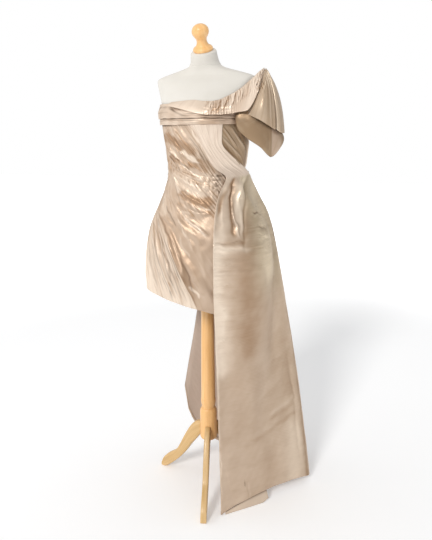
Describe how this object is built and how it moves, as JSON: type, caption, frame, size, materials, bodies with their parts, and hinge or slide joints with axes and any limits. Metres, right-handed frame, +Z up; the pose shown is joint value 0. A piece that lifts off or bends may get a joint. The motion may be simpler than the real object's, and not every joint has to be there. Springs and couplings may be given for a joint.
{
  "type": "one-shouldered cocktail dress on a dress form stand",
  "caption": "Draped satin cocktail dress with a gathered neckline, one pleated sleeve and a floor-length side train, on a limbless dress form with a turned wooden tripod stand.",
  "frame": {"origin": "middle of the footprint at floor level; the pole's axis stands at x -0.0710, y -0.0607", "axes": "+Z up, the form faces -Y, and the wearer's left side, with the sleeve and the train, is +X"},
  "size_m": [0.6242, 0.6011, 1.7474],
  "materials": {
    "champagne_satin": "lustrous silk satin, champagne with a blush cast",
    "form_cover": "matte off-white jersey",
    "beech_wood": "clear satin varnish on honey beech"
  },
  "bodies": {
    "root": {"draped_front": "champagne_satin", "side_panel": "champagne_satin", "back_left": "champagne_satin", "back_right": "champagne_satin", "side_drape": "champagne_satin", "train_front": "champagne_satin", "train_back": "champagne_satin", "turned_hem": "champagne_satin", "band_lower": "champagne_satin", "band_upper": "champagne_satin", "bertha": "champagne_satin", "bertha_back": "champagne_satin", "sleeve_flap": "champagne_satin", "sleeve_lower": "champagne_satin", "dress_form": "form_cover", "neck_knob": "beech_wood", "pole": "beech_wood", "boss": "beech_wood", "leg_1": "beech_wood", "leg_2": "beech_wood", "leg_3": "beech_wood"}
  },
  "joints": []
}
